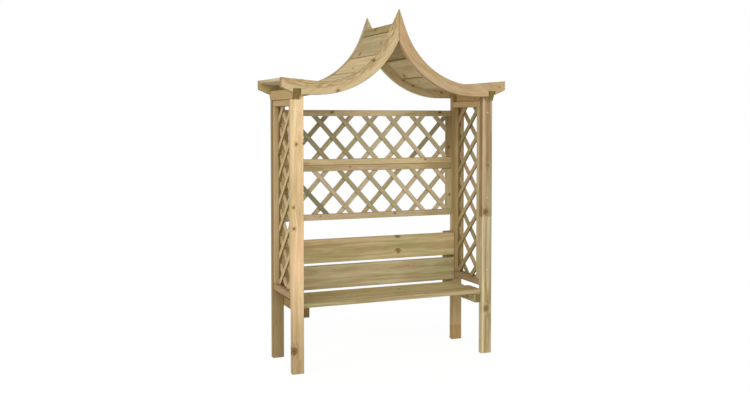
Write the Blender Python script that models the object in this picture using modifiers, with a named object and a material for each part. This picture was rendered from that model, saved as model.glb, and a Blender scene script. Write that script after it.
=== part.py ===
"""Pergola bench: a two-seat garden bench between four posts, with lattice panels and a pagoda roof.

Metres, +Z up, the sitter faces -Y. The origin lies on the ground, midway between the four posts.
"""

import math

import bmesh
import bpy
from mathutils import Matrix, Vector

# Overall sizes, over the outer faces of the posts
WIDTH = 1.288
DEPTH = 0.426
SHOULDER_HEIGHT = 1.560
SEAT_HEIGHT = 0.400

# Fits
GAP = 0.0003
OVERRUN = 0.010
EASED_EDGE = 0.002
SHARPEST_SMOOTH = math.radians(30)
FLATTEST_EDGE = math.radians(0.1)

# Posts and beams
POST_WIDTH = 0.070
POST_DEPTH = 0.035
BEAM_WIDTH = 0.045
BEAM_HEIGHT = 0.057
BEAM_UNDERCUT = 0.030
TONGUE_CLEARANCE = 0.005

# Arch boards: each half is one sweep that rises to a pointed finial at the middle
ARCH_THICKNESS = 0.035
ARCH_BOARD_WIDTH = 0.068
ARCH_CROWN_WIDTH = 0.0655
ARCH_NOTCH = 0.0336
EAVE_OVERHANG = 0.0685
SWEEP_CENTRE_INSET = 0.2095
SWEEP_ANGLE = math.radians(65.7)
FINIAL_STEEPNESS = math.radians(69.4)
TAIL_ANGLE = math.radians(7.5)
TAIL_END_LIFT = 0.041
TAIL_END_DEPTH = 0.055
TAIL_TOE_LIFT = 0.012
FINIAL_BEVEL = 0.125
FINIAL_EDGE = 0.001
ARC_STEPS = 24

# Roof planks: places along the arch's top edge, from the tip of the finial to the eave
PLANK_THICKNESS = 0.019
PLANK_SINK = 0.008
PLANK_EAVE_SINK = 0.0005
PLANK_GAP = 0.003
PLANK_SEAM_SHARES = (0.0924, 0.1482, 0.3150, 0.4820, 0.6545, 0.8270, 0.9970)

# Lattice panels; the back pattern's rows follow the height of its opening
FRAME_FACE = 0.0375
SIDE_FRAME_SETBACK = 0.0057
SIDE_PANEL_LIFT = 0.0197
SIDE_PITCH_ACROSS = 0.172
SIDE_PITCH_UP = 0.1635
SIDE_PATTERN_LIFT = 0.010
BACK_FRAME_DEPTH = 0.022
BACK_PANEL_DROP = 0.056
BACK_PANEL_LIFT = 0.113
BACK_PITCH_ACROSS = 0.165
BACK_PITCH_UP_SHARE = 0.6822
LATH_WIDTH = 0.028
LATH_THICKNESS = 0.009
LATH_HALVING = 0.0005

# Seat and back rest
BOARD_WIDTH = 0.145
BOARD_THICKNESS = 0.028
SEAT_BOARD_GAP = 0.015
SEAT_SETBACK = 0.013
REAR_BOARD_INSET = 0.026
BEARER_WIDTH = 0.037
BEARER_HEIGHT = 0.055
BACK_REST_LIFT = 0.0035
BACK_BOARD_GAP = 0.017
BATTEN_WIDTH = 0.055
BATTEN_PROUD = 0.006

# Places that follow from the sizes above
HALF_WIDTH = WIDTH / 2
HALF_DEPTH = DEPTH / 2
INNER_X = HALF_WIDTH - POST_WIDTH
INNER_Y = HALF_DEPTH - POST_DEPTH
BEAM_INNER_X = HALF_WIDTH - BEAM_WIDTH
BEAM_TOP = SHOULDER_HEIGHT + GAP + BEAM_HEIGHT
ARCH_BACK_Y = HALF_DEPTH + GAP
ARCH_FACE_Y = ARCH_BACK_Y + ARCH_THICKNESS
HALF_SPAN = HALF_WIDTH + EAVE_OVERHANG
ARCH_LOW = BEAM_TOP + GAP - ARCH_NOTCH
SWEEP_X = HALF_SPAN - SWEEP_CENTRE_INSET
INNER_RADIUS = SWEEP_X / math.sin(SWEEP_ANGLE)
TAIL_RADIUS = INNER_RADIUS - ARCH_BOARD_WIDTH
CROWN_RADIUS = INNER_RADIUS - ARCH_CROWN_WIDTH
SWEEP_Z = ARCH_LOW + INNER_RADIUS
TONGUE_TOP = ARCH_LOW + ARCH_BOARD_WIDTH - PLANK_SINK - PLANK_THICKNESS - TONGUE_CLEARANCE
SIDE_PANEL_TOP = SHOULDER_HEIGHT - GAP
SIDE_PANEL_LOW = SEAT_HEIGHT + SIDE_PANEL_LIFT
SIDE_FRAME_DEPTH = POST_WIDTH - GAP - SIDE_FRAME_SETBACK
BEARER_TOP = SEAT_HEIGHT - BOARD_THICKNESS - GAP
BACK_REST_LOW = SEAT_HEIGHT + BACK_REST_LIFT
BACK_REST_TOP = BACK_REST_LOW + BOARD_WIDTH + BACK_BOARD_GAP + BOARD_WIDTH
BACK_PANEL_TOP = SHOULDER_HEIGHT - BACK_PANEL_DROP
BACK_PANEL_HEIGHT = (BACK_PANEL_TOP - BACK_REST_TOP - BACK_PANEL_LIFT - GAP) / 2

# Colours of the timber, as it faces the light and as it lies in shade
PALE_PINE = (0.62, 0.47, 0.26)
WARM_PINE = (0.56, 0.40, 0.21)
GREEN_PINE = (0.40, 0.33, 0.16)
DULL_PINE = (0.32, 0.24, 0.11)
TIMBER_ROUGHNESS = 0.75


def clear_scene():
    for old in list(bpy.data.objects):
        bpy.data.objects.remove(old)


def timber(name, colour):
    """A matt wood material of its own for one sub-part."""
    material = bpy.data.materials.new(name + "_timber")
    material.use_nodes = True
    shader = material.node_tree.nodes["Principled BSDF"]
    shader.inputs["Base Color"].default_value = (*colour, 1)
    shader.inputs["Roughness"].default_value = TIMBER_ROUGHNESS
    shader.inputs["Metallic"].default_value = 0
    material.diffuse_color = (*colour, 1)
    return material


def add_node(name, mesh, location, colour, turn=0.0):
    """Puts one finished mesh in the scene under the bench's origin, turned about the vertical."""
    node = bpy.data.objects.new(name, mesh)
    node.location = location
    node.rotation_euler.z = turn
    node.parent = origin
    bench.objects.link(node)
    if mesh.materials:
        mesh.materials[0] = timber(name, colour)
    else:
        mesh.materials.append(timber(name, colour))
    return node


def mark_arrises(shape):
    """Marks the sharp outward edges for the bevel, so that the corner of a notch stays sharp."""
    weight = shape.edges.layers.float.new("bevel_weight_edge")
    for edge in shape.edges:
        if edge.is_convex and edge.calc_face_angle() > SHARPEST_SMOOTH:
            edge[weight] = 1


def ease_edges(node):
    """Takes the sharp arrises off, as a planer leaves them."""
    bevel = node.modifiers.new("eased_edges", "BEVEL")
    bevel.width = EASED_EDGE
    bevel.segments = 1
    bevel.limit_method = "WEIGHT"


def box_mesh(name, size):
    mesh = bpy.data.meshes.new(name)
    shape = bmesh.new()
    bmesh.ops.create_cube(shape, size=1, matrix=Matrix.Diagonal((*size, 1)))
    mark_arrises(shape)
    shape.to_mesh(mesh)
    shape.free()
    return mesh


def board(name, low, high, colour):
    """A straight piece between two opposite corners."""
    low, high = Vector(low), Vector(high)
    node = add_node(name, box_mesh(name, high - low), (low + high) / 2, colour)
    ease_edges(node)
    return node


def sawn_mesh(name, outline, thickness, across_x=False):
    """A closed outline cut from a board: in the XZ plane, or in the YZ plane with across_x."""
    curve = bpy.data.curves.new(name, "CURVE")
    curve.dimensions = "2D"
    curve.fill_mode = "BOTH"
    curve.extrude = thickness / 2
    spline = curve.splines.new("POLY")
    spline.points.add(len(outline) - 1)
    for point, (along, up) in zip(spline.points, outline):
        point.co = (along, up, 0, 1)
    spline.use_cyclic_u = True
    drawn = bpy.data.objects.new(name + "_outline", curve)
    bench.objects.link(drawn)
    bpy.context.view_layer.update()
    graph = bpy.context.evaluated_depsgraph_get()
    mesh = bpy.data.meshes.new_from_object(drawn.evaluated_get(graph))
    mesh.name = name
    bpy.data.objects.remove(drawn)
    turn = Matrix.Rotation(math.pi / 2, 4, "X")
    if across_x:
        turn = Matrix.Rotation(math.pi / 2, 4, "Z") @ turn
    shape = bmesh.new()
    shape.from_mesh(mesh)
    bmesh.ops.remove_doubles(shape, verts=shape.verts, dist=GAP / 10)
    bmesh.ops.transform(shape, matrix=turn, verts=shape.verts)
    bmesh.ops.dissolve_limit(shape, angle_limit=FLATTEST_EDGE, verts=shape.verts, edges=shape.edges)
    bmesh.ops.recalc_face_normals(shape, faces=shape.faces)
    mark_arrises(shape)
    shape.to_mesh(mesh)
    shape.free()
    return mesh


def helper(name, mesh, location=(0, 0, 0)):
    """A cutter: kept out of the render and drawn as wire."""
    tool = bpy.data.objects.new(name, mesh)
    tool.location = location
    tool.hide_render = True
    tool.display_type = "WIRE"
    cutters.objects.link(tool)
    return tool


def add_boolean(node, operation, tool):
    modifier = node.modifiers.new(tool.name, "BOOLEAN")
    modifier.operation = operation
    modifier.solver = "EXACT"
    modifier.object = tool


def sweep(start_radius, end_radius, start, end):
    """Points about the sweep's centre; the angle is measured from straight below it."""
    points = []
    for step in range(ARC_STEPS + 1):
        share = step / ARC_STEPS
        radius = start_radius + (end_radius - start_radius) * share
        angle = start + (end - start) * share
        points.append((SWEEP_X - radius * math.sin(angle), SWEEP_Z - radius * math.cos(angle)))
    return points


def arch_top_edge():
    """The upper edge of a right-hand arch half, from the tip of the finial to the eave."""
    swept = sweep(CROWN_RADIUS, TAIL_RADIUS, FINIAL_STEEPNESS, TAIL_ANGLE)
    flank_x, flank_z = swept[0]
    tip = (GAP / 2, flank_z + (flank_x - GAP / 2) * math.tan(FINIAL_STEEPNESS))
    return [tip, *swept, (HALF_SPAN, ARCH_LOW + TAIL_END_LIFT + TAIL_END_DEPTH)]


def arch_low_edge():
    """The lower edge of a right-hand arch half, from the eave over the beam to the middle."""
    outer = HALF_WIDTH + GAP
    inner = BEAM_INNER_X - GAP
    notch_top = BEAM_TOP + GAP
    swept = sweep(INNER_RADIUS, INNER_RADIUS, 0, SWEEP_ANGLE)
    return [
        (HALF_SPAN, ARCH_LOW + TAIL_END_LIFT),
        (outer, ARCH_LOW + TAIL_TOE_LIFT),
        (outer, notch_top),
        (inner, notch_top),
        (inner, ARCH_LOW),
        *swept[:-1],
        (GAP / 2, swept[-1][1]),
    ]


def make_posts():
    """Four uprights; each tongue stands on the inner side, behind an arch board."""
    for side, side_name in ((-1, "left"), (1, "right")):
        outline = [
            (side * INNER_X, 0),
            (side * HALF_WIDTH, 0),
            (side * HALF_WIDTH, SHOULDER_HEIGHT),
            (side * (BEAM_INNER_X - GAP), SHOULDER_HEIGHT),
            (side * (BEAM_INNER_X - GAP), TONGUE_TOP),
            (side * INNER_X, TONGUE_TOP),
        ]
        for end, end_name in ((-1, "front"), (1, "back")):
            name = f"post_{end_name}_{side_name}"
            mesh = sawn_mesh(name, outline, POST_DEPTH)
            colour = PALE_PINE if end < 0 else WARM_PINE
            ease_edges(add_node(name, mesh, (0, end * (HALF_DEPTH - POST_DEPTH / 2), 0), colour))


def make_beams():
    """Two beams on the post shoulders; both ends are cut back underneath."""
    foot = ARCH_FACE_Y - BEAM_UNDERCUT
    low = SHOULDER_HEIGHT + GAP
    outline = [(-ARCH_FACE_Y, BEAM_TOP), (-foot, low), (foot, low), (ARCH_FACE_Y, BEAM_TOP)]
    for side, side_name in ((-1, "left"), (1, "right")):
        name = f"side_beam_{side_name}"
        mesh = sawn_mesh(name, outline, BEAM_WIDTH, across_x=True)
        place = (side * (HALF_WIDTH - BEAM_WIDTH / 2), 0, 0)
        ease_edges(add_node(name, mesh, place, DULL_PINE))


def finial_cutter(end):
    """A wedge that thins the finial from behind, so that it comes to a point."""
    tip_z = arch_top_edge()[0][1]
    run = ARCH_THICKNESS - FINIAL_EDGE
    reach = OVERRUN / run
    low = (ARCH_BACK_Y - OVERRUN, tip_z - FINIAL_BEVEL * (1 + reach))
    high = (ARCH_BACK_Y + run + OVERRUN, tip_z + FINIAL_BEVEL * reach)
    outline = [(end * y, z) for y, z in (low, high, (low[0], high[1]))]
    name = "finial_wedge_front" if end < 0 else "finial_wedge_back"
    return helper(name, sawn_mesh(name, outline, 4 * ARCH_BOARD_WIDTH, across_x=True))


def make_arches():
    """A left and a right half at the front and at the back, notched over the beams."""
    outline = arch_top_edge() + arch_low_edge()
    for end, end_name in ((-1, "front"), (1, "back")):
        wedge = finial_cutter(end)
        for side, side_name in ((-1, "left"), (1, "right")):
            name = f"arch_{end_name}_{side_name}"
            mesh = sawn_mesh(name, [(side * x, z) for x, z in outline], ARCH_THICKNESS)
            colour = WARM_PINE if end < 0 else GREEN_PINE
            node = add_node(name, mesh, (0, end * (ARCH_BACK_Y + ARCH_THICKNESS / 2), 0), colour)
            ease_edges(node)
            add_boolean(node, "DIFFERENCE", wedge)


def point_along(line, distance):
    """The point at a distance along a line of points, and the line's direction there."""
    for start, end in zip(line, line[1:]):
        start, end = Vector(start), Vector(end)
        step = (end - start).length
        if distance <= step or end == Vector(line[-1]):
            direction = (end - start).normalized()
            return start + direction * distance, direction
        distance -= step


def sunk_point(line, distance, sink):
    """A point on the roof's upper face, square below the arch's top edge."""
    point, direction = point_along(line, distance)
    return point + Vector((direction.y, -direction.x)) * sink


def make_roof():
    """Planks from arch to arch, laid as chords of the sweep: the top pair wedges, the eave pair flush."""
    line = arch_top_edge()
    length = sum((Vector(b) - Vector(a)).length for a, b in zip(line, line[1:]))
    seams = [share * length for share in PLANK_SEAM_SHARES]
    for number, (start, end) in enumerate(zip(seams, seams[1:]), 1):
        upper = sunk_point(line, start + PLANK_GAP / 2, PLANK_SINK)
        lower_sink = PLANK_EAVE_SINK if end == seams[-1] else PLANK_SINK
        lower = sunk_point(line, end - PLANK_GAP / 2, lower_sink)
        run = (lower - upper).normalized()
        under = Vector((run.y, -run.x)) * PLANK_THICKNESS
        top_corner = upper + under
        if number == 1:
            top_corner = Vector((GAP / 2, upper.y))
        outline = [upper, lower, lower + under, top_corner]
        for side, side_name in ((-1, "left"), (1, "right")):
            name = f"roof_plank_{side_name}_{number}"
            mesh = sawn_mesh(name, [(side * p.x, p.y) for p in outline], DEPTH)
            ease_edges(add_node(name, mesh, (0, 0, 0), GREEN_PINE))


def lath_layer(name, width, height, across, up, lift, rises, near, far):
    """Parallel laths longer than the opening; each one crosses another inside it."""
    slope = up / across if rises else -up / across
    angle = math.atan(slope)
    long = 2 * (width + height)
    mesh = bpy.data.meshes.new(name)
    shape = bmesh.new()
    reach = math.ceil((height + width * up / across) / (2 * up)) + 1
    for number in range(-reach, reach):
        offset = (number + 0.5) * up + lift
        across_steps = [k * across / 2 for k in range(-reach * 4, reach * 4)]
        if not any(
            abs(x) < (width - LATH_WIDTH) / 2 and abs(slope * x + offset) < (height - LATH_WIDTH) / 2
            for x in across_steps
        ):
            continue
        place = Matrix.Translation((0, (near + far) / 2, offset))
        turn = Matrix.Rotation(-angle, 4, "Y")
        stretch = Matrix.Diagonal((long, far - near, LATH_WIDTH, 1))
        bmesh.ops.create_cube(shape, size=1, matrix=place @ turn @ stretch)
    shape.to_mesh(mesh)
    shape.free()
    return helper(name, mesh)


def lattice_mesh(name, width, height, across, up, lift, front_rises):
    """Two crossed layers of laths, halved into each other by a hair and cut off at the frame."""
    front = lath_layer(
        name + "_front", width, height, across, up, lift, front_rises, -LATH_THICKNESS, LATH_HALVING / 2
    )
    back = lath_layer(
        name + "_back", width, height, across, up, lift, not front_rises, -LATH_HALVING / 2, LATH_THICKNESS
    )
    opening = helper(name + "_opening", box_mesh(name, (width, 4 * LATH_THICKNESS, height)))
    add_boolean(front, "UNION", back)
    add_boolean(front, "INTERSECT", opening)
    bpy.context.view_layer.update()
    graph = bpy.context.evaluated_depsgraph_get()
    mesh = bpy.data.meshes.new_from_object(front.evaluated_get(graph))
    mesh.name = name
    for tool in (front, back, opening):
        bpy.data.objects.remove(tool)
    return mesh


def make_side_panels():
    """A tall frame under each beam, between the posts: rails across, stiles between them."""
    low = SIDE_PANEL_LOW
    high = SIDE_PANEL_TOP
    half = INNER_Y - GAP
    stile_low = low + FRAME_FACE + GAP
    stile_high = high - FRAME_FACE - GAP
    opening_width = 2 * (half - FRAME_FACE - GAP)
    opening_height = stile_high - stile_low - 2 * GAP
    for side, side_name in ((-1, "left"), (1, "right")):
        near, far = sorted((side * (INNER_X + GAP), side * (INNER_X + GAP + SIDE_FRAME_DEPTH)))
        prefix = f"side_panel_{side_name}"
        board(f"{prefix}_bottom_rail", (near, -half, low), (far, half, low + FRAME_FACE), WARM_PINE)
        board(f"{prefix}_top_rail", (near, -half, high - FRAME_FACE), (far, half, high), WARM_PINE)
        for end, end_name in ((-1, "front"), (1, "back")):
            start, stop = sorted((end * half, end * (half - FRAME_FACE)))
            name = f"{prefix}_{end_name}_stile"
            board(name, (near, start, stile_low), (far, stop, stile_high), WARM_PINE)
        mesh = lattice_mesh(
            f"{prefix}_lattice",
            opening_width,
            opening_height,
            SIDE_PITCH_ACROSS,
            SIDE_PITCH_UP,
            SIDE_PATTERN_LIFT,
            True,
        )
        middle = ((near + far) / 2, 0, (stile_low + stile_high) / 2)
        add_node(f"{prefix}_lattice", mesh, middle, GREEN_PINE, turn=-math.pi / 2)


def make_back_panels():
    """Two wide frames, one on the other, between the back posts."""
    half = INNER_X - GAP
    far = HALF_DEPTH
    near = far - BACK_FRAME_DEPTH
    opening_width = 2 * (half - FRAME_FACE - GAP)
    opening_height = BACK_PANEL_HEIGHT - 2 * (FRAME_FACE + GAP + GAP)
    for level, level_name in ((0, "upper"), (1, "lower")):
        high = BACK_PANEL_TOP - level * (BACK_PANEL_HEIGHT + GAP)
        low = high - BACK_PANEL_HEIGHT
        stile_low = low + FRAME_FACE + GAP
        stile_high = high - FRAME_FACE - GAP
        prefix = f"back_panel_{level_name}"
        board(f"{prefix}_bottom_rail", (-half, near, low), (half, far, low + FRAME_FACE), DULL_PINE)
        board(f"{prefix}_top_rail", (-half, near, high - FRAME_FACE), (half, far, high), DULL_PINE)
        for side, side_name in ((-1, "left"), (1, "right")):
            start, stop = sorted((side * half, side * (half - FRAME_FACE)))
            name = f"{prefix}_{side_name}_stile"
            board(name, (start, near, stile_low), (stop, far, stile_high), DULL_PINE)
        mesh = lattice_mesh(
            f"{prefix}_lattice",
            opening_width,
            opening_height,
            BACK_PITCH_ACROSS,
            opening_height * BACK_PITCH_UP_SHARE,
            0,
            False,
        )
        middle = (0, (near + far) / 2, (stile_low + stile_high) / 2)
        add_node(f"{prefix}_lattice", mesh, middle, GREEN_PINE)


def make_seat():
    """Two boards on two bearers; the bearers lie against the inner faces of the posts."""
    front = -HALF_DEPTH + SEAT_SETBACK
    low = SEAT_HEIGHT - BOARD_THICKNESS
    for side, side_name in ((-1, "left"), (1, "right")):
        near, far = sorted((side * (INNER_X - GAP), side * (INNER_X - GAP - BEARER_WIDTH)))
        corner = (near, front, BEARER_TOP - BEARER_HEIGHT)
        board(f"seat_bearer_{side_name}", corner, (far, HALF_DEPTH, BEARER_TOP), GREEN_PINE)
    half = INNER_X - GAP
    board("seat_board_front", (-half, front, low), (half, front + BOARD_WIDTH, SEAT_HEIGHT), PALE_PINE)
    half = INNER_X - REAR_BOARD_INSET
    start = front + BOARD_WIDTH + SEAT_BOARD_GAP
    board("seat_board_rear", (-half, start, low), (half, start + BOARD_WIDTH, SEAT_HEIGHT), GREEN_PINE)


def make_back_rest():
    """Two boards between the side panels, fixed to a batten beside each back post."""
    half = INNER_X - GAP
    far = INNER_Y - GAP
    near = far - BOARD_THICKNESS
    for level, level_name in ((0, "lower"), (1, "upper")):
        low = BACK_REST_LOW + level * (BOARD_WIDTH + BACK_BOARD_GAP)
        board(f"back_board_{level_name}", (-half, near, low), (half, far, low + BOARD_WIDTH), WARM_PINE)
    high = BACK_REST_TOP + BATTEN_PROUD
    for side, side_name in ((-1, "left"), (1, "right")):
        start, stop = sorted((side * half, side * (half - BATTEN_WIDTH)))
        corner = (start, INNER_Y, BEARER_TOP + GAP)
        board(f"back_batten_{side_name}", corner, (stop, HALF_DEPTH, high), DULL_PINE)


clear_scene()
bench = bpy.data.collections.new("pergola_bench")
cutters = bpy.data.collections.new("cutters")
bpy.context.scene.collection.children.link(bench)
bpy.context.scene.collection.children.link(cutters)
origin = bpy.data.objects.new("bench_origin", None)
bench.objects.link(origin)

make_posts()
make_beams()
make_arches()
make_roof()
make_side_panels()
make_back_panels()
make_seat()
make_back_rest()
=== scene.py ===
"""A pergola bench of pressure-treated softwood, as it looks in plain studio light."""

import math
import random

import bmesh
import bpy
from mathutils import Matrix, Vector


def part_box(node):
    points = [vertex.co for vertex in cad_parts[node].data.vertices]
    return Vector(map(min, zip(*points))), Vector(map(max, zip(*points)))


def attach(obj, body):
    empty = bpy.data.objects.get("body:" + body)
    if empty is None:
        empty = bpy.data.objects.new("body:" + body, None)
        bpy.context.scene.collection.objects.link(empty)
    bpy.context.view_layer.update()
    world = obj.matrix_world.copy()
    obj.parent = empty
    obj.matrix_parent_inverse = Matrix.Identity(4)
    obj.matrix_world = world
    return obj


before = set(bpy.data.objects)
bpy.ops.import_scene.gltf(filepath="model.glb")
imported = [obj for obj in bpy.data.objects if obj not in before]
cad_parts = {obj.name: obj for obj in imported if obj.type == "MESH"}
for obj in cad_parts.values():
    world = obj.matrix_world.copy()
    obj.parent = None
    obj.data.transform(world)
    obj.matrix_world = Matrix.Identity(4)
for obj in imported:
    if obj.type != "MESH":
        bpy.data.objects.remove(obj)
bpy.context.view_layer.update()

# POSTS
# Four planed uprights of green-treated pine, 70 x 35 mm, sawn to length and notched at the top. Their
# broad faces look forwards and back, and their eased arrises are drawn darker. Cross-head screws
# through them hold the side panels.


class Field:
    """One socket of a material: the signs of arithmetic add Math nodes, and add() makes any other node."""

    def __init__(self, tree, socket=None):
        self.tree = tree
        self.socket = socket

    def add(self, kind, settings, sockets, out=0):
        """A node: its settings or its ramp's stops are set first, then the values or links of its sockets."""
        node = self.tree.nodes.new(kind)
        for name, setting in settings.items():
            if name == "stops":
                while len(node.color_ramp.elements) < len(setting):
                    node.color_ramp.elements.new(1)
                for stop, (place, colour) in zip(node.color_ramp.elements, setting):
                    stop.position = place
                    stop.color = colour
            else:
                setattr(node, name, setting)
        for name, value in sockets.items():
            if isinstance(value, Field):
                self.tree.links.new(value.socket, node.inputs[name])
            else:
                node.inputs[name].default_value = value
        return Field(self.tree, node.outputs[out])

    def feed(self, shader, name):
        """Leads this value to a socket of a shader that is there already."""
        self.tree.links.new(self.socket, shader.inputs[name])

    def math(self, operation, *values):
        return self.add("ShaderNodeMath", {"operation": operation}, dict(enumerate(values)))

    def __add__(self, other):
        return self.math("ADD", self, other)

    def __radd__(self, other):
        return self.math("ADD", other, self)

    def __sub__(self, other):
        return self.math("SUBTRACT", self, other)

    def __rsub__(self, other):
        return self.math("SUBTRACT", other, self)

    def __mul__(self, other):
        return self.math("MULTIPLY", self, other)

    def __rmul__(self, other):
        return self.math("MULTIPLY", other, self)

    def __truediv__(self, other):
        return self.math("DIVIDE", self, other)

    def __pow__(self, other):
        return self.math("POWER", self, other)

    def __abs__(self):
        return self.math("ABSOLUTE", self)

    def fraction(self):
        return self.math("FRACT", self)


def paint(red, green, blue):
    """A colour as it is read off a screen, from 0 to 255, for a shader."""
    shares = [channel / 255 for channel in (red, green, blue)]
    return (*(s / 12.92 if s <= 0.04045 else ((s + 0.055) / 1.055) ** 2.4 for s in shares), 1)


def vector_math(operation, first, *others):
    out = "Value" if operation in ("LENGTH", "DOT_PRODUCT") else "Vector"
    sockets = dict(enumerate((first, *others)))
    return first.add("ShaderNodeVectorMath", {"operation": operation}, sockets, out)


def ways(where):
    """The x, y and z of a place, each on its own."""
    node = where.add("ShaderNodeSeparateXYZ", {}, {0: where}).socket.node
    return [Field(where.tree, socket) for socket in node.outputs]


def facing(spot, way):
    """How far each face looks along a way, from -1 to 1."""
    return vector_math("DOT_PRODUCT", spot.add("ShaderNodeNewGeometry", {}, {}, "Normal"), way)


def smooth(value, start, end):
    """0 at start and 1 at end, with a soft step between them."""
    low, high = min(start, end), max(start, end)
    sockets = {"Value": value, "From Min": low, "From Max": high}
    if start > end:
        sockets.update({"To Min": 1, "To Max": 0})
    return value.add("ShaderNodeMapRange", {"interpolation_type": "SMOOTHSTEP"}, sockets)


SHIFT_SHARES = (1, 1.7, 0.6)


def cloud(where, waves, shift, detail=2, out=0):
    """Noise with so many waves to the metre along each way of the piece."""
    place = vector_math("MULTIPLY_ADD", where, waves, [shift * share for share in SHIFT_SHARES])
    return where.add("ShaderNodeTexNoise", {}, {"Vector": place, "Scale": 1, "Detail": detail}, out)


def blend(factor, first, second, how="MIX"):
    field = next(value for value in (factor, first, second) if isinstance(value, Field))
    settings = {"data_type": "RGBA", "blend_type": how}
    return field.add("ShaderNodeMix", settings, {0: factor, 6: first, 7: second}, 2)


def tint(factor, colour, times):
    return blend(factor, colour, (*times, 1), "MULTIPLY")


# A knot's reaches are in its own radii: its push on the rings, halo, disc, dark core and rim
KNOT = paint(86, 66, 28)
KNOT_RIM = (0.62, 0.54, 0.44)
KNOT_HALO = (0.88, 0.80, 0.68)
KNOT_SLENDERNESS = 0.8
KNOT_RAGGEDNESS = 0.7
RAGGED_WAVES = (60, 130, 130)
PUSH_REACH = (3.4, 0.5)
PUSH = 0.012
HALO_REACH = (2.7, 0.9)
HALO_DEPTH = 0.8
DISC_REACH = (1.05, 0.75)
DISC_DEPTH = 0.36
DISC_RINGS = 2.6
DISC_RING_DEPTH = 0.42
CORE_REACH = (0.50, 0.16)
CORE_DEPTH = 0.75
RIM_PLACE = 0.95
RIM_REACH = (0.22, 0.02)
RIM_DEPTH = 0.8


def knot_reach(board, knots, shift):
    """How far the nearest knot is, in its own radii, with a ragged outline."""
    ragged = (cloud(board, RAGGED_WAVES, shift, 1) - 0.5) * KNOT_RAGGEDNESS
    nearest = None
    for along, aside, size in knots:
        scale = Vector((KNOT_SLENDERNESS, 0, 1)) / size
        start = (-scale.x * along, 0, -scale.z * aside)
        reach = vector_math("LENGTH", vector_math("MULTIPLY_ADD", board, scale, start)) + ragged
        nearest = reach if nearest is None else nearest.math("MINIMUM", nearest, reach)
    return nearest


def knotted(colour, reach):
    """Each knot is a ringed brown disc with a dark core and rim, in a halo of darker wood."""
    colour = tint(smooth(reach, *HALO_REACH) * HALO_DEPTH, colour, KNOT_HALO)
    rings = (reach * DISC_RINGS).fraction() * DISC_RING_DEPTH
    colour = blend(smooth(reach, *DISC_REACH) * (DISC_DEPTH + rings), colour, KNOT)
    colour = blend(smooth(reach, *CORE_REACH) * CORE_DEPTH, colour, KNOT)
    return tint(smooth(abs(reach - RIM_PLACE), *RIM_REACH) * RIM_DEPTH, colour, KNOT_RIM)


# Growth rings about a pith that sways, and the lines and stains of the sawn face
RING = 0.0046
RING_EDGE = 2.2
LATE_WOOD = (0.74, 0.68, 0.58)
SWAY = 0.030
SWAY_WAVES = (1.8, 5, 5)
STREAK_WAVES_ALONG = 1.6
STREAK_WAVES_OUT = 90
STREAK_EDGE = (0.36, 0.66)
FIBRE_WAVES = (7, 260, 260)
MOTTLE_WAVES = (14, 60, 60)
GRAIN_DARK = (0.72, 0.70, 0.64, 1)
GRAIN_LIGHT = (1.24, 1.26, 1.30, 1)
HEARTWOOD = (0.84, 0.80, 0.75)
HEART_EDGE = 0.003
HEART_LINE = (0.0035, 0.0005)
HEART_LINE_DEPTH = 0.45
STAIN_WAVES = (2.6, 9, 9)
GREEN_STAIN = (0.83, 0.91, 0.77)
GREEN_EDGE = (0.42, 0.62)
PINK_STAIN = (1.03, 0.94, 0.90)
PINK_EDGE = (0.50, 0.34)
RESIN = (0.80, 0.72, 0.60)
RESIN_WAVES = (1.1, 24, 24)
RESIN_EDGE = (0.54, 0.70)


def figure(board, sap, seed, late, band, green, pink, pith, heart, knots):
    """Colour and relief of sawn pine: rings about the pith, streaks, stain, fibres and knots."""
    shift = random.Random(seed).uniform(3, 60)
    swayed = vector_math("MULTIPLY_ADD", cloud(board, SWAY_WAVES, shift, 2, 1), (0, SWAY, SWAY), board)
    centre = (0, -pith[0] - SWAY / 2, -pith[1] - SWAY / 2)
    radius = vector_math("LENGTH", vector_math("MULTIPLY_ADD", swayed, (0, 1, 1), centre))
    if knots:
        reach = knot_reach(board, knots, shift)
        pushed = smooth(reach, *PUSH_REACH)
        radius = radius + pushed * pushed * PUSH
    ring = (radius / RING).fraction() ** RING_EDGE
    drawn = {0: ways(board)[0] * STREAK_WAVES_ALONG, 1: radius * STREAK_WAVES_OUT, 2: shift}
    drawn = board.add("ShaderNodeCombineXYZ", {}, drawn)
    streak = smooth(board.add("ShaderNodeTexNoise", {}, {"Vector": drawn, "Scale": 1}), *STREAK_EDGE)
    colour = tint(ring * late + streak * band, sap, LATE_WOOD)
    if heart:
        colour = tint(smooth(radius, heart + HEART_EDGE, heart - HEART_EDGE), colour, HEARTWOOD)
        colour = tint(smooth(abs(radius - heart), *HEART_LINE) * HEART_LINE_DEPTH, colour, RESIN)
    stain = cloud(board, STAIN_WAVES, shift + 11, 3)
    colour = tint(smooth(stain, *GREEN_EDGE) * green, colour, GREEN_STAIN)
    colour = tint(smooth(stain, *PINK_EDGE) * pink, colour, PINK_STAIN)
    colour = tint(smooth(cloud(board, RESIN_WAVES, shift + 23), *RESIN_EDGE) * band, colour, RESIN)
    fibre = cloud(board, FIBRE_WAVES, shift, 3)
    grain = fibre * 0.5 + cloud(board, MOTTLE_WAVES, shift + 5) * 0.5
    colour = blend(1, colour, blend(grain, GRAIN_DARK, GRAIN_LIGHT), "MULTIPLY")
    if knots:
        colour = knotted(colour, reach)
    return colour, fibre * 0.6 + ring * 0.4


END_GRAIN = (0.50, 0.45, 0.30)
END_EDGE = (0.70, 0.86)
ARRIS = (0.70, 0.67, 0.58)
ARRIS_START = (0.1, 0.3)
ARRIS_END = (0.98, 0.86)
ROUGHNESS = 0.74
POLISHED_RIDGES = 0.16
SHEEN = 0.25
BUMP = {"Strength": 0.5, "Distance": 0.0005}


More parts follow.
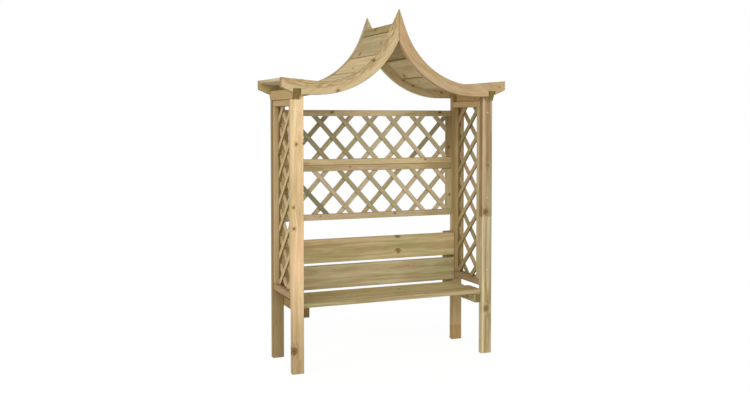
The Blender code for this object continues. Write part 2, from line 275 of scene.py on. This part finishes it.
def finish(spot, turn, colour, relief, ends=END_GRAIN):
    """What every board shares: dark end grain, darker arrises, a dull sheen and the relief of its grain."""
    colour = tint(smooth(abs(facing(spot, turn.col[0])), *END_EDGE), colour, ends)
    broad = abs(facing(spot, turn.col[1]))
    colour = tint(smooth(broad, *ARRIS_START) * smooth(broad, *ARRIS_END), colour, ARRIS)
    shader = spot.tree.nodes["Principled BSDF"]
    colour.feed(shader, "Base Color")
    (ROUGHNESS - relief * POLISHED_RIDGES).feed(shader, "Roughness")
    spot.add("ShaderNodeBump", {}, {**BUMP, "Height": relief}).feed(shader, "Normal")
    shader.inputs["Specular IOR Level"].default_value = SHEEN


def stock(name):
    """A new material, and the place of each point of the bench in it."""
    material = bpy.data.materials.new(name)
    material.use_nodes = True
    return material, Field(material.node_tree).add("ShaderNodeTexCoord", {}, {}, "Object")


def timber(piece):
    """A material of its own for one CAD piece, in place of the plain one."""
    material, spot = stock(piece + "_pine")
    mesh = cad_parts[piece].data
    mesh.materials.clear()
    mesh.materials.append(material)
    return spot


def lie(piece):
    """The middle of a straight piece and its own ways: with the grain, out of its broad face, across."""
    low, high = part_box(piece)
    size = high - low
    grain = Vector((0, 0, 0))
    grain[max(range(3), key=lambda way: size[way])] = 1
    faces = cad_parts[piece].data.polygons
    long_faces = [face for face in faces if abs(face.normal.dot(grain)) < 0.1]
    broad = max(long_faces, key=lambda face: face.area)
    out = (broad.normal - grain * broad.normal.dot(grain)).normalized()
    return (low + high) / 2, Matrix((grain, out, grain.cross(out))).transposed()


def laid(spot, middle, turn):
    """Each point's place on a board: with the grain, out of the broad face and across, from the middle."""
    sockets = {"Vector": spot, "Location": middle, "Rotation": turn.to_euler()}
    return spot.add("ShaderNodeMapping", {"vector_type": "TEXTURE"}, sockets)


LATE = 0.45
SPARE_SEED = 1000
SPARE_KNOT_SIZES = (0.004, 0.009)
PITH_DISTANCES = (0.02, 0.05)


def pine(
    piece, sap, seed, band=0.5, green=0.45, pink=0.3, pith=None, heart=0, knots=(), spare=2,
    lay=None, reworks=(), ends=END_GRAIN,
):
    """Gives a CAD piece its own board of pine. A knot is x, y, z and size; the spare ones fall anywhere."""
    spot = timber(piece)
    middle, turn = lay or lie(piece)
    low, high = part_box(piece)
    half = [abs(length) / 2 for length in turn.transposed() @ (high - low)]
    dice = random.Random(SPARE_SEED + seed)
    spots = []
    for *place, size in knots:
        own = turn.transposed() @ (Vector(place) - middle)
        spots.append((own.x, own.z, size))
    for _ in range(spare):
        along = dice.uniform(-0.9, 0.9) * half[0]
        aside = dice.uniform(-0.8, 0.8) * half[2]
        spots.append((along, aside, dice.uniform(*SPARE_KNOT_SIZES)))
    if pith is None:
        depth = dice.choice((-1, 1)) * (half[1] + dice.uniform(*PITH_DISTANCES))
        pith = (depth, dice.uniform(-0.5, 0.5) * half[2])
    board = laid(spot, middle, turn)
    colour, relief = figure(board, paint(*sap), seed, LATE, band, green, pink, pith, heart, spots)
    for rework in reworks:
        colour, relief = rework(spot, board, colour, relief)
    finish(spot, turn, colour, relief, ends)


def toned(*shifts):
    """Slow changes of tone: the way, the places where each starts and ends, and the tint at the end."""

    def rework(spot, board, colour, relief):
        for way, start, end, times in shifts:
            place = ways(spot)["xyz".index(way)]
            colour = tint(smooth(place, start, end), colour, times)
        return colour, relief

    return rework


POST_FRONT = -0.213
LEFT_POST_KNOTS = (
    (-0.616, POST_FRONT, 1.306, 0.009),
    (-0.577, POST_FRONT, 1.310, 0.005),
    (-0.633, POST_FRONT, 0.951, 0.007),
    (-0.631, POST_FRONT, 0.830, 0.008),
    (-0.634, POST_FRONT, 0.134, 0.019),
)
RIGHT_POST_KNOTS = (
    (0.616, POST_FRONT, 1.163, 0.005),
    (0.599, POST_FRONT, 0.878, 0.016),
    (0.607, POST_FRONT, 0.278, 0.019),
)
DARK_FOOT = ("z", 0.60, 0.05, (0.66, 0.67, 0.66))
PALE_TOP = ("z", 0.95, 1.25, (1.15, 1.17, 1.24))
DIPPED_FOOT = ("z", 0.099, 0.091, (0.90, 0.82, 0.66))

# The front right post: a clear line across it, a greyer right edge with a wavering border, painted shade on
# its sides
DIP_LINE = (0.846, 0.851)
ABOVE_LINE = (0.86, 0.81, 0.79)
BELOW_LINE = (1.06, 1.12, 1.16)
GREY_EDGE = (0.94, 1.02, 1.16)
GREY_EDGE_BORDER = (0.612, 0.620)
BORDER_WAVES = (5, 0, 0)
BORDER_SHIFT = 12
BORDER_WANDER = 0.02
SIDE_SHADE = (0.64, 0.56, 0.49)
SIDE_SHADE_BELOW = 0.65
SIDE_TURN = (0.5, 0.9)


def half_dipped(spot, board, colour, relief):
    """The upper part lay under another board: it is pinkish, and the rest greener below a clear line."""
    across, _, height = ways(spot)
    border = across + (cloud(board, BORDER_WAVES, BORDER_SHIFT) - 0.5) * BORDER_WANDER
    colour = tint(smooth(border, *GREY_EDGE_BORDER), colour, GREY_EDGE)
    above = smooth(height, *DIP_LINE)
    colour = tint(above, colour, ABOVE_LINE)
    colour = tint(1 - above, colour, BELOW_LINE)
    # Painted shade on the post's side faces, weaker below the line
    sides = smooth(abs(facing(spot, (1, 0, 0))), *SIDE_TURN)
    return tint(sides * (SIDE_SHADE_BELOW + above * (1 - SIDE_SHADE_BELOW)), colour, SIDE_SHADE), relief


pine(
    "post_front_left", (234, 203, 158), 1, band=0.6, green=0.3, pink=0.7, knots=LEFT_POST_KNOTS, spare=0,
    reworks=(toned(DARK_FOOT, PALE_TOP),),
)
pine(
    "post_front_right", (212, 191, 154), 2, band=0.9, green=0.5, pink=0.4, pith=(0, 0.009), heart=0.024,
    knots=RIGHT_POST_KNOTS, spare=0, reworks=(half_dipped,),
)
pine("post_back_left", (156, 134, 94), 3, band=0.4, green=0.3, pink=0.5, spare=3)
pine(
    "post_back_right", (195, 167, 126), 4, band=0.4, green=0.5, pink=0.6, reworks=(toned(DIPPED_FOOT),),
)


BLOOM_WAVES = (700, 700, 700)
BLOOM_SEED = 4
BLOOM_EDGE = (0.35, 0.65)
PLATE_ROUGHNESS = 0.28
BLOOM_ROUGHNESS = 0.3


def steel(name, dull, bright):
    """Zinc-plated steel, cloudy where the treated timber has marked it. Dark, it serves as painted shade."""
    material, spot = stock(name)
    bloom = cloud(spot, BLOOM_WAVES, BLOOM_SEED)
    shader = material.node_tree.nodes["Principled BSDF"]
    blend(smooth(bloom, *BLOOM_EDGE), paint(*dull), paint(*bright)).feed(shader, "Base Color")
    (PLATE_ROUGHNESS + bloom * BLOOM_ROUGHNESS).feed(shader, "Roughness")
    shader.inputs["Metallic"].default_value = 1
    return material


ZINC = steel("zinc_plate", (182, 178, 164), (228, 226, 218))
# Dark steel as painted shade on the walls and floor of the cross in each screw head
CROSS_SHADE = steel("screw_cross_shade", (52, 46, 36), (84, 76, 60))

# A head is a stack of rings, each a radius and a height off the wood; a screw's has a cross cut in it
SCREW_RINGS = ((0.0048, -0.0004), (0.0048, 0.0001), (0.0044, 0.0004))
CROSS_ARM = 0.0020
CROSS_HALF = 0.0006
CROSS_LIP = 0.00005
CROSS_FLOOR = 0.00006
TURN_APART = 0.8


def fasteners(piece, places, out, rings=SCREW_RINGS, crossed=True):
    """The heads of all the screws or nails in one part of the bench, as one mesh."""
    mesh = bpy.data.meshes.new(piece)
    mesh.materials.append(ZINC)
    mesh.materials.append(CROSS_SHADE)
    shape = bmesh.new()
    out = Vector(out)
    aside = out.orthogonal().normalized()
    over = out.cross(aside)
    cross = []
    for quarter in range(4):
        turn = Matrix.Rotation(quarter * math.pi / 2, 2)
        for corner in ((CROSS_ARM, -CROSS_HALF), (CROSS_ARM, CROSS_HALF), (CROSS_HALF, CROSS_HALF)):
            cross.append(turn @ Vector(corner))
    outline = [([point.normalized() * radius for point in cross], height) for radius, height in rings]
    if crossed:
        outline += [(cross, rings[-1][1] - CROSS_LIP), (cross, CROSS_FLOOR)]
    for number, place in enumerate(places):
        turn = Matrix.Rotation(TURN_APART * number, 2)
        loops = []
        for points, height in outline:
            seat = Vector(place) + out * height
            turned = [turn @ point for point in points]
            loops.append([shape.verts.new(seat + aside * point.x + over * point.y) for point in turned])
        shape.faces.new(loops[0][::-1])
        for step, (low, high) in enumerate(zip(loops, loops[1:])):
            for i in range(len(cross)):
                j = (i + 1) % len(cross)
                wall = shape.faces.new((low[i], low[j], high[j], high[i]))
                # The cross's walls and floor take the painted shade
                wall.material_index = int(crossed and step == len(rings))
        cap = shape.faces.new(loops[-1])
        cap.material_index = int(crossed)
    shape.normal_update()
    shape.to_mesh(mesh)
    shape.free()
    heads = bpy.data.objects.new(piece, mesh)
    bpy.context.scene.collection.objects.link(heads)
    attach(heads, "root")


POST_SCREW_X = 0.611
POST_SCREW_HEIGHTS = (0.520, 0.966, 1.488)
for side, way in (("left", -1), ("right", 1)):
    for row, face_y, outwards in (("front", POST_FRONT, -1), ("back", -POST_FRONT, 1)):
        places = [(way * POST_SCREW_X, face_y, height) for height in POST_SCREW_HEIGHTS]
        fasteners(f"post_{row}_{side}_screws", places, (0, outwards, 0))

# SIDE BEAMS
# Two sawn beams, 45 x 57 mm, that lie front to back on the post shoulders, under the arch boards. Their
# ends are cut back underneath and show dark end grain.
pine("side_beam_left", (192, 164, 114), 5, green=0.6, spare=0, ends=(0.50, 0.47, 0.33))
# The right beam is painted paler than the left, as painted light on its inner face in the roof's shade, and
# its ends darker to offset it
pine("side_beam_right", (230, 202, 146), 6, green=0.8, spare=1, ends=(0.32, 0.33, 0.21))

# ARCH BOARDS
# Four halves band-sawn from 35 mm boards along one sweep and mitred together at the pointed finial. The
# saw has torn the fibres near the upper edge of the front left one, which leaves a rough, streaked band.
ARCH_FRONT = -0.248
ARCH_REAR = 0.213
ARCH_WIDTH = 0.067
ARCH_GRAIN_RISE = math.radians(34)
ARCH_PITH = (0.03, 0.24)
SWEEP_X = 0.503
SWEEP_Z = 2.136
SWEEP_RADIUS = 0.552


def arch_lay(piece, side):
    """The boards were cut with the grain along the line from the eave to the finial."""
    low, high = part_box(piece)
    grain = Vector((-side * math.cos(ARCH_GRAIN_RISE), 0, math.sin(ARCH_GRAIN_RISE)))
    out = Vector((0, -1, 0))
    return (low + high) / 2, Matrix((grain, out, grain.cross(out))).transposed()


TORN_EDGE = (0.66, 0.92)
TORN_WANDER_WAVES = (9, 0, 0)
TORN_WANDER = 0.5
TORN_WAVES = (16, 40, 240)
TORN_STREAK_EDGE = (0.46, 0.62)
TORN_DARK = (0.62, 0.56, 0.42)
TORN_LIGHT = (1.14, 1.16, 1.18)
FAINT_WAVES = (5, 20, 90)
FAINT_EDGE = (0.5, 0.66)
FAINT_DEPTH = 0.5
FLUSH = (1.04, 0.90, 0.78)
FLUSH_WAVES = (4, 2, 14)
FLUSH_EDGE = (0.42, 0.62)


def saw_marks(side, torn, seed, flush):
    """Streaks along the sweep: a torn band near the upper edge, faint ones below it, and pinkish patches."""

    def rework(spot, board, colour, relief):
        hub = vector_math("SUBTRACT", spot, (side * SWEEP_X, 0, SWEEP_Z))
        reach = vector_math("LENGTH", vector_math("MULTIPLY", hub, (1, 0, 1)))
        across, depth, height = ways(hub)
        turned = across.math("ARCTAN2", across, height * -1) * SWEEP_RADIUS
        swept = spot.add("ShaderNodeCombineXYZ", {}, {0: turned, 1: depth, 2: reach})
        up_the_board = (SWEEP_RADIUS - reach) / ARCH_WIDTH
        wander = cloud(swept, TORN_WANDER_WAVES, seed) * TORN_WANDER
        in_band = smooth(up_the_board + wander, *TORN_EDGE) * torn
        light = smooth(cloud(swept, TORN_WAVES, seed + 3, 4), *TORN_STREAK_EDGE)
        colour = tint((1 - light) * in_band, colour, TORN_DARK)
        colour = tint(light * in_band, colour, TORN_LIGHT)
        faint = smooth(cloud(swept, FAINT_WAVES, seed + 8, 3), *FAINT_EDGE)
        colour = tint(faint * FAINT_DEPTH, colour, LATE_WOOD)
        patch = smooth(cloud(swept, FLUSH_WAVES, seed + 5), *FLUSH_EDGE)
        colour = tint(patch * flush, colour, FLUSH)
        return colour, relief + light * in_band

    return rework


ARCH_KNOTS = {
    "front_left": ((-0.158, ARCH_FRONT, 1.785, 0.008), (-0.381, ARCH_FRONT, 1.609, 0.008)),
    "front_right": ((0.673, ARCH_FRONT, 1.643, 0.004),),
    "back_left": (),
    "back_right": (
        (0.304, ARCH_REAR, 1.663, 0.006),
        (0.237, ARCH_REAR, 1.695, 0.005),
        (0.509, ARCH_REAR, 1.619, 0.006),
    ),
}
# Painted light on the lower end of the back left half, whose face lies in shade under the eave
PAINTED_LIGHT_TAIL = ("x", -0.48, -0.58, (1.28, 1.24, 0.92))
DARK_FINIAL = ("x", 0.07, 0.04, (0.78, 0.79, 0.80))
for half, side, sap, seed, torn, flush, shifts in (
    ("front_left", -1, (212, 189, 148), 21, 0.85, 0.2, ()),
    ("front_right", 1, (198, 172, 134), 22, 0.25, 0.6, ()),
    ("back_left", -1, (184, 168, 140), 23, 0.4, 0.3, (PAINTED_LIGHT_TAIL,)),
    # The back right half is painted paler, as painted light on its face in the roof's shade
    ("back_right", 1, (218, 201, 157), 24, 0.4, 0.3, (DARK_FINIAL,)),
):
    pine(
        f"arch_{half}", sap, seed, band=0.3, green=0.35, pink=0.2, pith=ARCH_PITH, knots=ARCH_KNOTS[half],
        spare=0, lay=arch_lay(f"arch_{half}", side),
        reworks=(saw_marks(side, torn, seed, flush), toned(*shifts)),
    )

# ROOF PLANKS
# Twelve planed boards, six a side, that run front to back between the arch boards. Each one came from
# another plank, so the tones differ: dull olive at the ridge, grey-tan and pinkish tan further down.
ROOF_TONES = (
    ((162, 142, 94), (164, 146, 100)),
    ((184, 165, 123), (208, 188, 140)),
    ((210, 186, 142), (228, 204, 160)),
    ((200, 184, 137), (220, 202, 158)),
    ((198, 180, 134), (220, 198, 154)),
    ((206, 191, 151), (216, 196, 150)),
)
ROOF_KNOTS = {
    "roof_plank_left_1": ((-0.029, 0.039, 1.991, 0.009),),
    "roof_plank_left_2": ((-0.107, 0.099, 1.847, 0.012), (-0.079, -0.164, 1.894, 0.008)),
    "roof_plank_right_3": ((0.207, 0.136, 1.723, 0.013),),
}
seed = 32
for number, tones in enumerate(ROOF_TONES, 1):
    for side, sap in zip(("left", "right"), tones):
        plank = f"roof_plank_{side}_{number}"
        knots = ROOF_KNOTS.get(plank, ())
        pine(plank, sap, seed, band=0.6, green=0.5, pink=0.4, knots=knots, spare=0 if knots else 1)
        seed += 1

# SIDE PANELS
# A tall frame of planed strips fills each side between the posts, under the beam: rails across and stiles
# between them, screwed to the posts. They have the same treatment as the posts, with pinkish patches.
SIDE_FRAME_PARTS = ("bottom_rail", "top_rail", "front_stile", "back_stile")
FRAME_TONES = {
    "left": ((170, 141, 103), (188, 160, 114), (196, 170, 128), (192, 166, 126)),
    "right": ((163, 143, 109), (220, 190, 140), (196, 182, 144), (174, 150, 106)),
}
# Painted shade along the frame's inner edges, where the laths meet them
GROOVE_EDGE = (0.0115, 0.0085)
GROOVE_SHADE = (0.42, 0.39, 0.31)
INNER_FACE_TURN = (0.5, 0.2)


def shaded_groove(middle):
    """Painted shade along the middle of the frame's inner edges, where the laths meet it and little light
    gets in.
    """

    def rework(spot, board, colour, relief):
        along_edge = smooth(abs(facing(spot, (1, 0, 0))), *INNER_FACE_TURN)
        inside = smooth(abs(ways(spot)[0] - middle), *GROOVE_EDGE)
        return tint(inside * along_edge, colour, GROOVE_SHADE), relief

    return rework


for side, first_seed in (("left", 50), ("right", 60)):
    low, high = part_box(f"side_panel_{side}_lattice")
    groove = shaded_groove((low.x + high.x) / 2)
    for seed, (part, sap) in enumerate(zip(SIDE_FRAME_PARTS, FRAME_TONES[side]), first_seed):
        pine(f"side_panel_{side}_{part}", sap, seed, band=0.4, pink=0.7, spare=1, reworks=(groove,))

# SIDE LATTICES
# Thin laths in two crossed layers, nailed where they cross and held in the frame. Each lath has its own
# tone, from green-grey to pinkish tan.
LATH_WIDTH = 0.028
LATH_TONES = (
    (0.0, paint(156, 142, 98)),
    (0.3, paint(178, 164, 122)),
    (0.6, paint(166, 148, 104)),
    (0.8, paint(192, 170, 130)),
    (1.0, paint(194, 164, 128)),
)
PALE_LATH_TONES = ((0.0, paint(198, 176, 130)), (0.5, paint(212, 186, 142)), (1.0, paint(204, 184, 140)))
LATH_PITH = (0.04, 0.01)
LAYER_DEPTH = 0.001
CUT_APART = (9, 0.03, 0.02)


def laths(piece, near_rises, seed, tones, sideways, across, up, lift):
    """Pine for a lattice. Its near layer rises or falls along the panel, which runs sideways; across and up
    are the pitches of its diamonds, and lift raises them all."""
    spot = timber(piece)
    low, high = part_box(piece)
    middle = (low + high) / 2
    out = Vector((0, 0, 1)).cross(sideways)
    lean = math.atan(up / across)
    layers = []
    for rises in (near_rises, not near_rises):
        slope = lean if rises else -lean
        grain = sideways * math.cos(slope) + Vector((0, 0, math.sin(slope)))
        turn = Matrix((grain, out, grain.cross(out))).transposed()
        layers.append(laid(spot, middle, turn))
    deep = vector_math("DOT_PRODUCT", vector_math("SUBTRACT", spot, middle), out)
    deep = deep - facing(spot, out) * LAYER_DEPTH
    is_far = deep.math("GREATER_THAN", deep, 0)
    lath = spot.add("ShaderNodeMix", {"data_type": "VECTOR"}, {0: is_far, 4: layers[0], 5: layers[1]}, 1)
    row = (ways(lath)[2] / math.cos(lean) - lift) / up
    label = lath.add("ShaderNodeCombineXYZ", {}, {0: row.math("FLOOR", row), 1: is_far, 2: seed})
    lot = lath.add("ShaderNodeTexWhiteNoise", {}, {"Vector": label})
    sap = lath.add("ShaderNodeValToRGB", {"stops": tones}, {0: lot})
    own = vector_math("MULTIPLY_ADD", lot, CUT_APART, lath)
    colour, relief = figure(
        own, sap, seed, late=0.4, band=0.6, green=0.3, pink=0.3, pith=LATH_PITH, heart=0, knots=(),
    )
    finish(spot, turn, colour, relief)


NAIL_RINGS = ((0.0021, -0.0004), (0.0021, 0.0002), (0.0015, 0.0005))
MOST_CROSSINGS = 20


def lath_nails(piece, sideways, across, up, lift):
    """One nail through each crossing, from the side of the near layer."""
    low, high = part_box(piece)
    out = Vector((0, 0, 1)).cross(sideways)
    middle = (low + high) / 2 - out * abs((high - low).dot(out)) / 2
    half_width = (abs((high - low).dot(sideways)) - LATH_WIDTH) / 2
    half_height = (high.z - low.z - LATH_WIDTH) / 2
    places = []
    for column in range(-MOST_CROSSINGS, MOST_CROSSINGS + 1):
        for row in range(-MOST_CROSSINGS, MOST_CROSSINGS + 1):
            x = column * across / 2
            z = row * up / 2 + lift
            if (column + row) % 2 and abs(x) < half_width and abs(z) < half_height:
                places.append(middle + sideways * x + Vector((0, 0, z)))
    fasteners(piece.replace("lattice", "nails"), places, -out, NAIL_RINGS, crossed=False)


SIDE_PATTERN = {"sideways": Vector((0, -1, 0)), "across": 0.172, "up": 0.1635, "lift": 0.010}
for side, seed, tones in (("left", 70, PALE_LATH_TONES), ("right", 71, LATH_TONES)):
    laths(f"side_panel_{side}_lattice", True, seed, tones, **SIDE_PATTERN)
    lath_nails(f"side_panel_{side}_lattice", **SIDE_PATTERN)

# BACK PANELS
# Two wide frames, one on the other, between the back posts, set flush with the back. The strips are
# thinner than at the sides, and the rails are darker near the right end.
BACK_FRAME_PARTS = ("bottom_rail", "top_rail", "left_stile", "right_stile")
BACK_TONES = {
    "upper": ((214, 190, 148), (218, 197, 154), (176, 152, 110), (156, 138, 97)),
    "lower": ((208, 190, 156), (200, 176, 138), (176, 152, 110), (192, 180, 142)),
}
DARKER_RIGHT_END = ("x", 0.33, 0.43, (0.76, 0.75, 0.66))
PALE_LEFT_END = ("x", -0.28, -0.42, (1.08, 1.08, 1.12))
RAIL_KNOT_RISE = 0.006
RAIL_KNOTS = {
    "upper_top_rail": ((-0.257, 0.007), (0.488, 0.009)),
    "upper_bottom_rail": ((0.383, 0.005),),
    "lower_top_rail": ((-0.136, 0.004),),
    "lower_bottom_rail": ((-0.334, 0.005), (0.170, 0.006)),
}
for level, first_seed in (("upper", 80), ("lower", 90)):
    for seed, (part, sap) in enumerate(zip(BACK_FRAME_PARTS, BACK_TONES[level]), first_seed):
        strip = f"back_panel_{level}_{part}"
        low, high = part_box(strip)
        middle = (low + high) / 2
        rail_knots = RAIL_KNOTS.get(f"{level}_{part}", ())
        knots = [(x, middle.y, middle.z + RAIL_KNOT_RISE, size) for x, size in rail_knots]
        pine(
            strip, sap, seed, band=0.6, green=0.6, pink=0.7, knots=knots, spare=0 if knots else 1,
            reworks=(toned(DARKER_RIGHT_END, PALE_LEFT_END),) if "rail" in part else (),
        )

# BACK LATTICES
# The same laths as at the sides, on a slightly steeper pattern; the layer that faces the sitter falls to
# the right.
BACK_LATH_TONES = (
    (0.0, paint(138, 132, 100)),
    (0.16, paint(172, 160, 124)),
    (0.4, paint(196, 184, 150)),
    (0.65, paint(184, 168, 130)),
    (0.85, paint(206, 190, 158)),
    (1.0, paint(202, 182, 150)),
)
BACK_PATTERN = {"sideways": Vector((1, 0, 0)), "across": 0.165, "up": 0.180, "lift": 0}
for level, seed in (("upper", 100), ("lower", 101)):
    laths(f"back_panel_{level}_lattice", False, seed, BACK_LATH_TONES, **BACK_PATTERN)
    lath_nails(f"back_panel_{level}_lattice", **BACK_PATTERN)

# SEAT BEARERS
# Two strips of the same pine, 37 x 55 mm, run front to back under the seat. Each is screwed to the inner
# faces of its two posts, with one screw above the other at each end.
BEARER_SCREW_Y = 0.189
BEARER_SCREW_HEIGHTS = (0.338, 0.356)
pine("seat_bearer_left", (166, 139, 90), 110, green=0.7)
pine("seat_bearer_right", (186, 166, 126), 111, green=0.7)
for side, way in (("left", -1), ("right", 1)):
    low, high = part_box(f"seat_bearer_{side}")
    inner_x = low.x if way > 0 else high.x
    places = [(inner_x, y, z) for y in (-BEARER_SCREW_Y, BEARER_SCREW_Y) for z in BEARER_SCREW_HEIGHTS]
    fasteners(f"seat_bearer_{side}_screws", places, (-way, 0, 0))

# SEAT BOARDS
# Two planed boards, 145 x 28 mm, lie side by side on the bearers with a gap between them, held down by
# two screws at each end. Streaks of darker heartwood run along them.
BOARD_SCREWS = (-0.045, 0.045)
FRONT_AND_BACK_SHADE = (0.87, 0.88, 0.91)
FRONT_TURN = (0.6, 0.9)


def shaded_front_and_back(spot, board, colour, relief):
    """Painted shade on the faces that look forwards and back, which are drawn darker than the top."""
    forwards = abs(facing(spot, (0, 1, 0)))
    return tint(smooth(forwards, *FRONT_TURN), colour, FRONT_AND_BACK_SHADE), relief


pine(
    "seat_board_front", (196, 180, 136), 120, band=0.9, green=0.7, pink=0.5, spare=0,
    reworks=(shaded_front_and_back,),
)
pine("seat_board_rear", (204, 188, 144), 121, band=0.9, green=0.7)
for board, screw_x in (("front", 0.555), ("rear", 0.542)):
    low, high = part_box(f"seat_board_{board}")
    middle_y = (low.y + high.y) / 2
    places = [(x, middle_y + aside, high.z) for x in (-screw_x, screw_x) for aside in BOARD_SCREWS]
    fasteners(f"seat_board_{board}_screws", places, (0, 0, 1))

# BACK REST
# Two more of the same boards between the side panels, screwed to an upright batten beside each back post.
# The upper one has two knots, one above the other, and each of them is double.
BOARD_FRONT = 0.150
UPPER_BOARD_KNOTS = (
    (0.165, BOARD_FRONT, 0.707, 0.010),
    (0.175, BOARD_FRONT, 0.705, 0.009),
    (0.168, BOARD_FRONT, 0.618, 0.011),
    (0.176, BOARD_FRONT, 0.609, 0.012),
)
DULL_LEFT_END = ("x", -0.22, -0.42, (0.88, 0.86, 0.82))
DARK_RIGHT_HALF = ("x", 0.10, 0.32, (0.76, 0.76, 0.69))
BACK_SCREW_X = 0.546
pine(
    "back_board_upper", (202, 183, 140), 130, band=0.9, green=0.8, pink=0.9, knots=UPPER_BOARD_KNOTS,
    spare=0,
)
pine(
    "back_board_lower", (203, 189, 152), 131, band=1, green=0.7, pink=0.9, spare=0,
    reworks=(toned(DULL_LEFT_END, DARK_RIGHT_HALF),),
)
pine("back_batten_left", (160, 140, 96), 132, green=0.7)
pine("back_batten_right", (160, 140, 96), 133, green=0.7)
for board in ("lower", "upper"):
    low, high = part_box(f"back_board_{board}")
    middle_z = (low.z + high.z) / 2
    places = [(x, low.y, middle_z + up) for x in (-BACK_SCREW_X, BACK_SCREW_X) for up in BOARD_SCREWS]
    fasteners(f"back_board_{board}_screws", places, (0, -1, 0))

# FLOOR, LIGHT AND CAMERA
# A white floor that keeps a faint shadow, a white surround, two broad soft lamps, in front and at the
# left, and even light from all round, as in a photograph cut out for a catalogue.
FLOOR_SIZE = 60
FLOOR_PAINT = (0.9, 0.9, 0.9, 1)
FLOOR_GLOW = 1.06
FLOOR_GLOW_SHARE = 0.86
WHITE = (1, 1, 1, 1)
EVEN_LIGHT = 0.57
floor_mesh = bpy.data.meshes.new("floor")
shape = bmesh.new()
bmesh.ops.create_grid(shape, x_segments=1, y_segments=1, size=FLOOR_SIZE / 2)
shape.to_mesh(floor_mesh)
shape.free()
floor = bpy.data.objects.new("floor", floor_mesh)
bpy.context.scene.collection.objects.link(floor)


def ray(start, kind):
    """1 for rays of one kind, such as those that come straight from the camera, and 0 for the rest."""
    return start.add("ShaderNodeLightPath", {}, {}, kind)


floor_paint = bpy.data.materials.new("floor_paint")
floor_paint.use_nodes = True
floor_mesh.materials.append(floor_paint)
tree = floor_paint.node_tree
tree.nodes.remove(tree.nodes["Principled BSDF"])
start = Field(tree)
matt = start.add("ShaderNodeBsdfDiffuse", {}, {"Color": FLOOR_PAINT})
glow = start.add("ShaderNodeEmission", {}, {"Color": WHITE, "Strength": FLOOR_GLOW})
seen = (ray(start, "Is Camera Ray") + ray(start, "Is Glossy Ray")) * FLOOR_GLOW_SHARE
mixed = start.add("ShaderNodeMixShader", {}, {0: seen, 1: matt, 2: glow})
mixed.feed(tree.nodes["Material Output"], "Surface")

world = bpy.data.worlds.new("studio")
world.use_nodes = True
bpy.context.scene.world = world
tree = world.node_tree
start = Field(tree)
even = start.add("ShaderNodeBackground", {}, {"Color": WHITE, "Strength": EVEN_LIGHT})
white = start.add("ShaderNodeBackground", {}, {"Color": WHITE, "Strength": 1})
seen = ray(start, "Is Camera Ray") + ray(start, "Is Glossy Ray") + ray(start, "Is Transmission Ray")
mixed = start.add("ShaderNodeMixShader", {}, {0: seen.math("MINIMUM", seen, 1), 1: even, 2: white})
mixed.feed(tree.nodes["World Output"], "Surface")

for name, energy, spread, comes_from in (
    ("front_softbox", 0.96, 30, (-0.20, -0.95, 0.46)),
    ("left_softbox", 1.1, 40, (-0.88, -0.46, 0.30)),
):
    light = bpy.data.lights.new(name, "SUN")
    light.energy = energy
    light.angle = math.radians(spread)
    lamp = bpy.data.objects.new(name, light)
    lamp.rotation_euler = Vector(comes_from).to_track_quat("Z", "Y").to_euler()
    bpy.context.scene.collection.objects.link(lamp)

LENS = 43.213
SENSOR = 36
CAMERA_SHIFT = -0.06
CAMERA_PLACE = (-2.1575, -5.0467, 1.4433)
CAMERA_DIP = math.radians(2.236)
CAMERA_YAW = -0.39576
camera_data = bpy.data.cameras.new("camera")
camera_data.lens = LENS
camera_data.sensor_width = SENSOR
camera_data.shift_y = CAMERA_SHIFT
camera = bpy.data.objects.new("camera", camera_data)
camera.location = CAMERA_PLACE
camera.rotation_euler = (math.pi / 2 - CAMERA_DIP, 0, CAMERA_YAW)
bpy.context.scene.collection.objects.link(camera)
bpy.context.scene.camera = camera
bpy.context.scene.view_settings.view_transform = "Standard"
